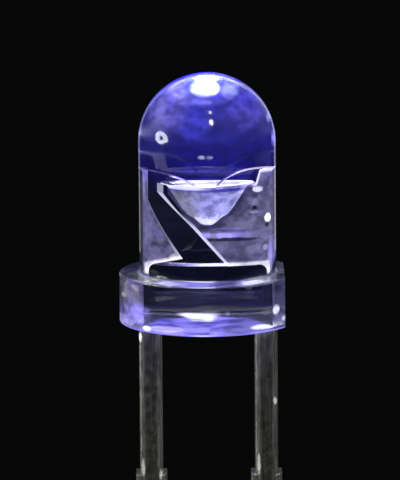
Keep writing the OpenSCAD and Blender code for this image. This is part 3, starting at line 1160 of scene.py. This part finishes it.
def chip_finish():
    crystal = Finish("lit_crystal")
    patch = crystal.noise(9.0, 2.0)
    top = crystal.between(crystal.facing("Z"), 0.5, 0.9)
    light = crystal.mix(crystal.between(patch, 0.35, 0.65), CHIP_LIGHT_LOW, CHIP_LIGHT)
    shader = crystal.principled({
        "Base Color": crystal.mix(top, (0.55, 0.6, 0.9), (0.8, 0.82, 1.0)),
        "Roughness": 0.15 + patch * 0.2,
        "Emission Color": crystal.tint(light, 0.6 + top * 0.4),
        "Normal": crystal.bump(patch, 0.2, 0.004 * MM),
    })
    return crystal.end(shader)


finish_piece(chip, "lit_chip", chip_finish(), "led_chip")

# %% The adhesive
drop_low, drop_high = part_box("die_attach")
drop_r = drop_high.x
drop_t = drop_high.z - drop_low.z
DROP_CURVE = [(1, 0), (0.985, 0.45), (0.94, 0.85)]


def adhesive():
    outline = [(0, drop_low.z)]
    outline += [(drop_r * out, drop_low.z + drop_t * up) for out, up in DROP_CURVE]
    outline += [(drop_r * 0.88, drop_high.z), (0, drop_high.z)]
    points, faces = lathe(outline, 64)
    for point in points:
        turn = math.atan2(point.y, point.x)
        squeeze = 1 - 0.05 * (1 + math.sin(3 * turn + 0.8)) / 2 - 0.03 * (1 + math.sin(7 * turn)) / 2
        point.x *= squeeze
        point.y *= squeeze
    return piece_from("chip_adhesive", points, faces)


# %% The adhesive's finish
def adhesive_finish():
    glue = Finish("pale_adhesive")
    blot_and_glow = glue.noise(12.0, 3.0)
    shader = glue.principled({
        "Base Color": glue.mix(blot_and_glow, (0.62, 0.60, 0.72), (0.86, 0.85, 0.93)),
        "Roughness": 0.3 + blot_and_glow * 0.2,
        # Painted light: the adhesive glows blue in blots, as if lit by the chip.
        "Emission Color": glue.mix(blot_and_glow, (0.9, 0.95, 3.2), (1.7, 1.8, 4.5)),
        "Normal": glue.bump(blot_and_glow, 0.3, 0.004 * MM),
    })
    return glue.end(shader)


finish_piece(adhesive(), "die_adhesive", adhesive_finish(), "die_attach")

# %% [markdown]
# ## Gold contacts and bond wires
# Two round gold contacts sit on the chip. A hair-thin gold wire leaves each one from a small
# pressed ball, arches up, and lands on the post or on the ear, where the tool presses it flat.
# The chip lights each wire along one stretch, so the gold gives light by its place across.


# %% Gold
def gold_finish():
    gold = Finish("soft_gold")
    grain = gold.noise(60.0, 3.0)
    across = gold.part(gold.place(), "X")
    left = gold.between(across, -0.58, -0.42) * (1 - gold.between(across, -0.20, -0.08))
    right = gold.between(across, 0.34, 0.46)
    light = gold.sum(gold.tint((0.34, 0.29, 0.90), left), gold.tint((0.42, 0.38, 0.66), right))
    shader = gold.principled({
        "Base Color": gold.mix(grain, (0.28, 0.20, 0.15), (0.55, 0.42, 0.30)),
        "Metallic": 1.0,
        "Roughness": 0.22 + grain * 0.16,
        "Emission Color": gold.tint(light, 0.8 + 0.4 * grain),
        "Normal": gold.bump(grain, 0.3, 0.002 * MM),
    })
    return gold.end(shader)


gold = gold_finish()


# %% The contacts
def contact(node, name):
    low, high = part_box(node)
    centre = (low + high) / 2
    radius = (high.x - low.x) / 2
    tall = high.z - low.z
    outline = [(0, -tall / 2), (radius * 0.96, -tall / 2), (radius, -tall * 0.1)]
    outline += arc(radius - tall * 0.4, tall * 0.1, tall * 0.4, 0, 90, 4)
    outline += [(radius * 0.5, tall * 0.44), (0, tall * 0.42)]
    return piece_from(name, *lathe(outline, 40, centre))


finish_piece(contact("p_contact", "positive_contact"), "gold_contact", gold, "p_contact")
finish_piece(contact("n_contact", "negative_contact"), "gold_contact", gold, "n_contact")

# %% Sweeping a bond wire
WIRE_R = 0.02 * MM
BALL_R = 0.04 * MM
BALL_H = 0.03 * MM
STITCH_L = 0.1 * MM
STITCH_HALF = 0.03 * MM
ANODE_ARCH = 0.11 * MM
CATHODE_ARCH = 0.2 * MM
EDGE_CLEAR = 0.01 * MM
EDGE_EASE = 0.1 * MM
WIRE_STEPS = 56
WIRE_SIDES = 14
FLAT_FROM = 0.95
TAIL = [(0.5, 0.9), (0.85, 0.6), (1.0, 0.2)]


def ledge_edge(node):
    """Where a lead's top begins, on the side of the axis."""
    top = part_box(node)[1].z
    return min(abs(point.x) for point in points_of(node) if near(point.z, top))


print("ledges begin", ledge_edge("anode_lead") / MM, ledge_edge("cathode_lead") / MM, "mm out")


def wire_line(start, end, edge, arch):
    """The loop's centre line: up from the ball, over, and lifted clear of the metal's edge."""
    line = []
    for step in range(WIRE_STEPS + 1):
        t = step / WIRE_STEPS
        x = start.x + (end.x - start.x) * t ** 1.5
        z = start.z + (end.z - start.z) * t + arch * math.sin(math.pi * t)
        past = (abs(x) - edge + EDGE_CLEAR + EDGE_EASE) / EDGE_EASE
        lift = max(end.z - z, 0) * min(max(past, 0), 1)
        line.append(Vector((x, 0, z + lift)))
    return line


# %% From the line to a wire
def bond_wire(name, contact_node, wire_node, lead_node, landing_z, arch):
    contact_low, contact_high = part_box(contact_node)
    wire_low, wire_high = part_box(wire_node)
    side = 1 if wire_high.x > contact_high.x else -1
    end_x = (wire_high.x if side > 0 else wire_low.x) - side * STITCH_L / 2
    start = Vector(((contact_low.x + contact_high.x) / 2, 0, contact_high.z + BALL_H * 0.7))
    end = Vector((end_x, 0, landing_z + WIRE_R))
    line = wire_line(start, end, ledge_edge(lead_node), arch)
    rings = []
    for step, middle in enumerate(line):
        before = line[max(step - 1, 0)]
        after = line[min(step + 1, len(line) - 1)]
        along = (after - before).normalized()
        across = Vector((0, 1, 0))
        normal = along.cross(across).normalized()
        flat = max(0.0, (step / WIRE_STEPS - FLAT_FROM) / (1 - FLAT_FROM))
        wide = WIRE_R * (1 - flat) + STITCH_HALF * flat
        tall = WIRE_R * (1 - 0.45 * flat)
        turns = [2 * math.pi * side / WIRE_SIDES for side in range(WIRE_SIDES)]
        rings.append([
            middle + across * (wide * math.cos(turn)) + normal * (tall * math.sin(turn))
            for turn in turns])
    tail = rings[-1]
    centre = line[-1]
    for reach, scale in TAIL:
        shift = Vector((side * STITCH_L / 2 * reach, 0, -WIRE_R * 0.55 * reach))
        shrink = Vector((0, scale, scale * 0.5))
        rings.append([centre + shift + (point - centre) * shrink for point in tail])
    points, faces = stack_rings(rings)
    centre = Vector((start.x, 0, contact_high.z + BALL_H / 2))
    outline = [(0, -BALL_H / 2)] + arc(BALL_R - BALL_H / 2, 0, BALL_H / 2, -90, 90, 10)
    outline += [(WIRE_R * 1.3, BALL_H / 2), (WIRE_R * 1.02, BALL_H * 0.75), (0, BALL_H * 0.8)]
    ball_points, ball_faces = lathe(outline, 28, centre)
    count = len(points)
    points += ball_points
    faces += [tuple(corner + count for corner in face) for face in ball_faces]
    return piece_from(name, points, faces, smooth_angle=60)


# %% Both wires
anode_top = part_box("anode_lead")[1].z
anode_wire = bond_wire(
    "anode_gold_wire", "p_contact", "anode_bond_wire", "anode_lead", anode_top, ANODE_ARCH)
cathode_wire = bond_wire(
    "cathode_gold_wire", "n_contact", "cathode_bond_wire", "cathode_lead", ear_top, CATHODE_ARCH)
finish_piece(anode_wire, "gold_wire", gold, "anode_bond_wire")
finish_piece(cathode_wire, "gold_wire", gold, "cathode_bond_wire")

# %% [markdown]
# ## Floor, light and camera
# The floor is pale and plain. It fades to black away from the leads, because the object is seen
# glowing in a dark room. Soft lamps stand at both sides and behind, two small ones in front, and
# a ring lamp at the left, as on a lab bench.


# %% The floor
FLOOR_R = 160 * MM
FLOOR_GAP = 0.02 * MM
FLOOR_FADE = (38, 62)
DARK = (0.0020, 0.0024, 0.0020)


def make_floor():
    rings = [(FLOOR_R * (step / 24) ** 1.5, 0.0) for step in range(25)]
    floor = piece_from("floor", *lathe(rings, 96, Vector((0, 0, tip_z - FLOOR_GAP))))
    stone = Finish("pale_floor")
    fade = stone.between(stone.off_axis(stone.place()), *FLOOR_FADE)
    speck = stone.noise(0.8, 4.0)
    pale = stone.mix(speck, (0.58, 0.58, 0.60), (0.68, 0.68, 0.69))
    shown = stone.principled({
        "Base Color": stone.mix(fade, pale, (0.0, 0.0, 0.0)),
        "Roughness": 0.7 + speck * 0.2,
        "Specular IOR Level": 0.0,
        "Emission Color": stone.mix(fade, (0.0, 0.0, 0.0), DARK),
        "Normal": stone.bump(speck, 0.2, 0.05 * MM),
    })
    seen_through = stone.node("ShaderNodeLightPath", output="Is Transmission Ray")
    mirrored = stone.node("ShaderNodeLightPath", output="Is Glossy Ray")
    dark = stone.node("ShaderNodeEmission", {}, {"Color": (*DARK, 1), "Strength": 1.0})
    both = stone.node("ShaderNodeMixShader", {}, {0: seen_through + mirrored * 0.6, 1: shown, 2: dark})
    floor.data.materials.append(stone.end(both))
    print("floor", (FLOOR_GAP - tip_z) / MM, "mm below the flange")


make_floor()

# %% The dark room
ROOM_FILL = (0.10, 0.10, 0.10, 1)


def make_room():
    world = bpy.data.worlds.new("dark_room")
    bpy.context.scene.world = world
    world.use_nodes = True
    tree = world.node_tree
    tree.nodes.clear()
    fill = tree.nodes.new("ShaderNodeBackground")
    fill.inputs["Color"].default_value = ROOM_FILL
    dark = tree.nodes.new("ShaderNodeBackground")
    dark.inputs["Color"].default_value = (*DARK, 1)
    path = tree.nodes.new("ShaderNodeLightPath")
    diffuse = tree.nodes.new("ShaderNodeMixShader")
    tree.links.new(path.outputs["Is Diffuse Ray"], diffuse.inputs[0])
    tree.links.new(dark.outputs[0], diffuse.inputs[1])
    tree.links.new(fill.outputs[0], diffuse.inputs[2])
    out = tree.nodes.new("ShaderNodeOutputWorld")
    tree.links.new(diffuse.outputs[0], out.inputs["Surface"])


make_room()
print("room fill", ROOM_FILL[:3])

# %% The camera
VIEW_ELEVATION = math.radians(10)
VIEW_DISTANCE = 85 * MM
VIEW_HEIGHT = 10.51 * MM
VIEW_ROLL = math.radians(-0.42)
VIEW_TARGET = Vector((-0.166 * MM, 0, 1.78 * MM))

camera_data = bpy.data.cameras.new("bench_camera")
camera = bpy.data.objects.new("bench_camera", camera_data)
bpy.context.scene.collection.objects.link(camera)
toward = Vector((0, -math.cos(VIEW_ELEVATION), math.sin(VIEW_ELEVATION)))
camera.location = VIEW_TARGET + toward * VIEW_DISTANCE
camera.rotation_mode = "QUATERNION"
turned = (-toward).to_track_quat("-Z", "Y")
camera.rotation_quaternion = turned @ Quaternion((0, 0, 1), VIEW_ROLL)
camera_data.sensor_width = 36
camera_data.lens = camera_data.sensor_width * VIEW_DISTANCE / VIEW_HEIGHT
camera_data.clip_start = 5 * MM
camera_data.clip_end = 5.0
bpy.context.scene.camera = camera
print("lens", camera_data.lens, "mm at", camera.location / MM)

# %% The lamps
LAMP_AIM = Vector((0, 0, 2.5 * MM))


def put_round(thing, azimuth, elevation, distance, face):
    """Puts a thing round the aim, facing it. Azimuth turns from the front (-Y) to the right (+X)."""
    turn = math.radians(azimuth)
    rise = math.radians(elevation)
    level = math.cos(rise)
    way = Vector((math.sin(turn) * level, -math.cos(turn) * level, math.sin(rise)))
    thing.location = LAMP_AIM + way * distance * MM
    thing.rotation_mode = "QUATERNION"
    thing.rotation_quaternion = (-way).to_track_quat(face, "Y")


def lamp(name, azimuth, elevation, distance, wide, tall, brightness, hidden_from):
    """A flat lamp. Its energy follows its area, so that its brightness doesn't."""
    data = bpy.data.lights.new(name, "AREA")
    data.shape = "RECTANGLE"
    data.size = wide * MM
    data.size_y = tall * MM
    data.energy = brightness * math.pi * wide * tall * MM * MM
    made = bpy.data.objects.new(name, data)
    put_round(made, azimuth, elevation, distance, "-Z")
    for ray in hidden_from:
        setattr(made, "visible_" + ray, False)
    bpy.context.scene.collection.objects.link(made)
    print("lamp", name, "gives", data.energy, "W")


# Name, azimuth, elevation, distance, width, height, brightness, and the rays that miss it.
UNSEEN = ("camera", "transmission")
NO_MIRROR = UNSEEN + ("glossy",)
ONLY_MIRROR = UNSEEN + ("diffuse",)
lamp("left_rim", -160, 8, 160, 34, 150, 0.4, UNSEEN)
lamp("right_rim", 160, 8, 160, 34, 150, 0.7, UNSEEN)
lamp("left_side", -118, -8, 160, 40, 150, 0.5, NO_MIRROR)
lamp("right_side", 118, -8, 160, 40, 150, 0.5, NO_MIRROR)
lamp("left_low", -98, -12, 104, 44, 16, 3.0, NO_MIRROR)
lamp("right_low", 98, -12, 104, 44, 16, 4.0, NO_MIRROR)
lamp("front_low", 9, 39.6, 200, 20, 30, 24.0, ONLY_MIRROR)
lamp("front_high", 9, 57.3, 200, 16, 16, 14.0, ONLY_MIRROR)
lamp("top_back", 180, 62, 160, 90, 50, 3.0, NO_MIRROR)
# The chip gives up to 330, so indirect light is let through up to a higher value than usual.
INDIRECT_LIMIT = 200.0
bpy.context.scene.cycles.sample_clamp_indirect = INDIRECT_LIMIT


# %% The ring lamp
RING_STRETCH = 1.9


def ring_lamp(azimuth, elevation, distance, inner, outer, brightness):
    """A ring of light, as round a bench magnifier. Only reflections and matt faces show it."""
    points, faces = lathe([(inner * MM, 0.0), (outer * MM, 0.0)], 48)
    for point in points:
        point.x *= RING_STRETCH
    ring = piece_from("ring_lamp", points, faces)
    put_round(ring, azimuth, elevation, distance, "Z")
    light = Finish("ring_light")
    ring.data.materials.append(light.end(light.node(
        "ShaderNodeEmission", {}, {"Color": (0.9, 0.93, 1.0, 1), "Strength": brightness})))
    ring.visible_camera = False
    ring.visible_transmission = False


ring_lamp(-83, 6, 150, 6.5, 20, 14.0)

# %% The view transform
bpy.context.scene.view_settings.view_transform = "Standard"
